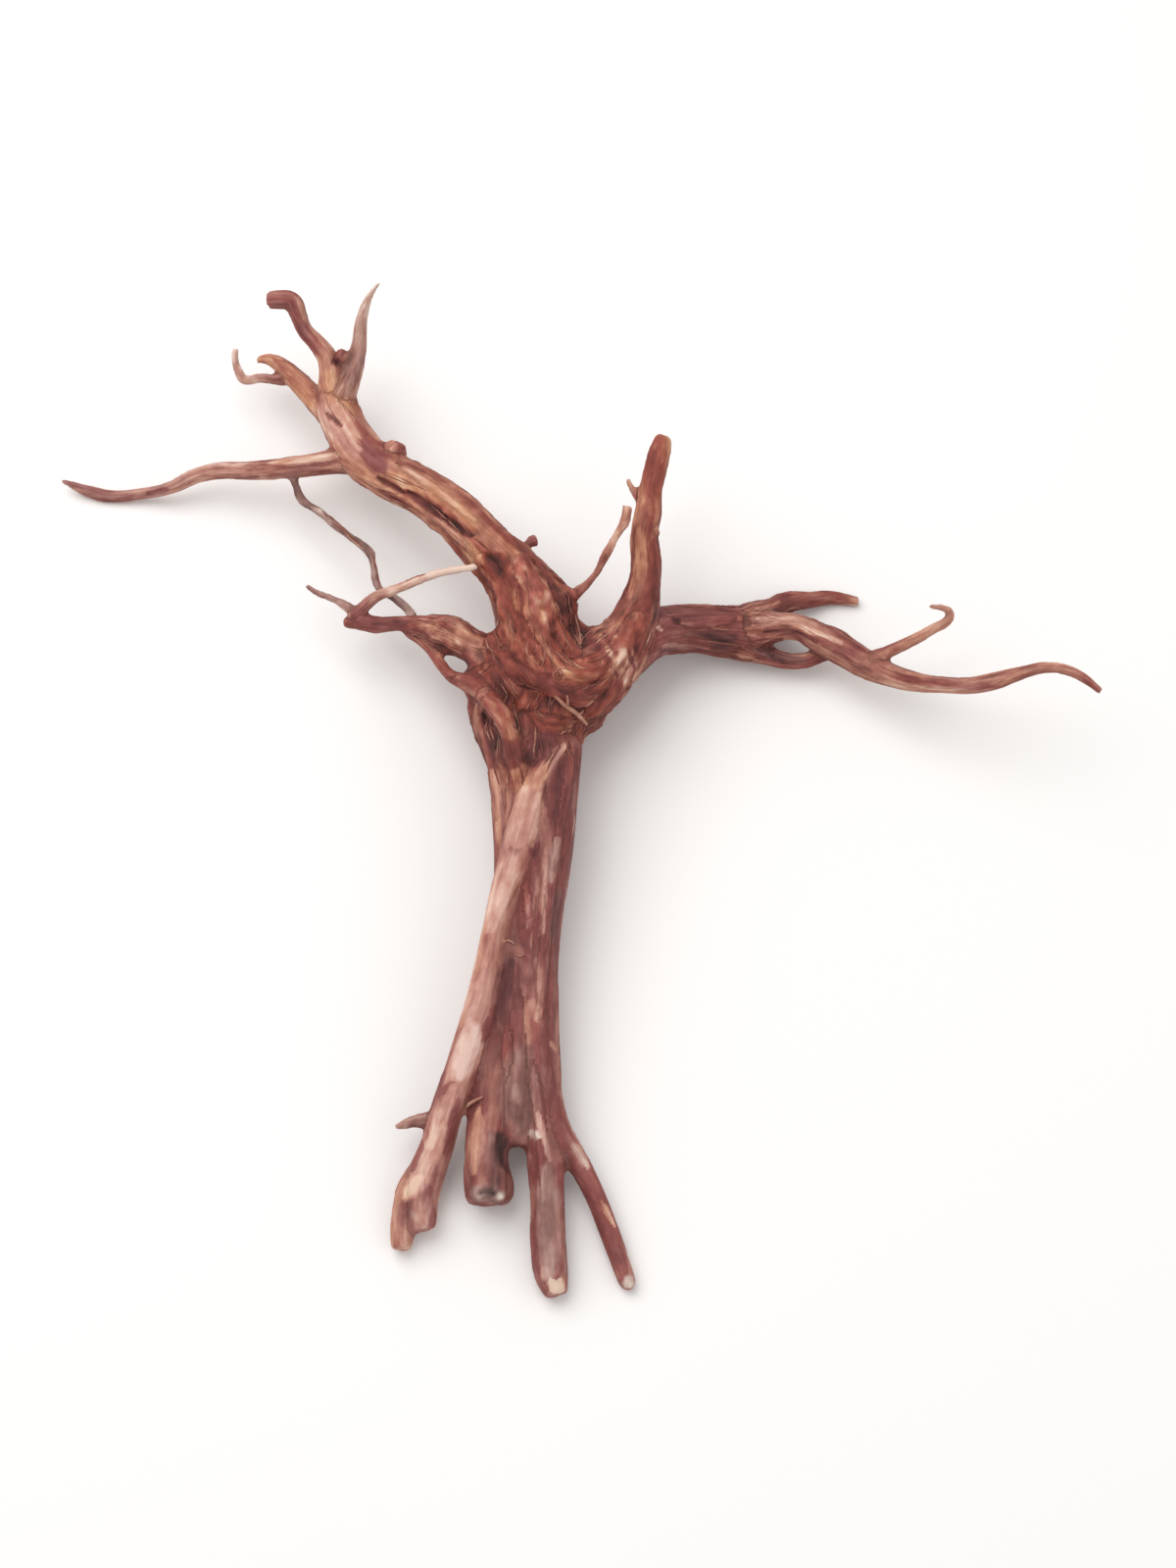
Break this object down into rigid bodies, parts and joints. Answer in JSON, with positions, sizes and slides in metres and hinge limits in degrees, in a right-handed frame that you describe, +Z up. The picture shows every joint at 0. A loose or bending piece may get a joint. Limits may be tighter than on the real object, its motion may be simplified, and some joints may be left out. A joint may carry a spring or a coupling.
{
  "type": "mangrove root",
  "caption": "Weathered mangrove root lying on a surface: a knotted crown with curved arms, lacing branches, fine twigs and a fluted stock with broken feet.",
  "frame": {"origin": "on the floor, at the middle of the root's outline seen from above", "axes": "+Y from the broken feet to the crown and arms, +X to the side with the lacing branch, +Z up from the floor that the root lies on"},
  "size_m": [0.7092, 0.6947, 0.1022],
  "materials": {
    "weathered_wood": "bare stripped root, dull, pale tan ridges and red-brown to purple-brown hollows with thin bark left in them"
  },
  "bodies": {
    "root": {"mangrove_root": "weathered_wood"}
  },
  "joints": []
}
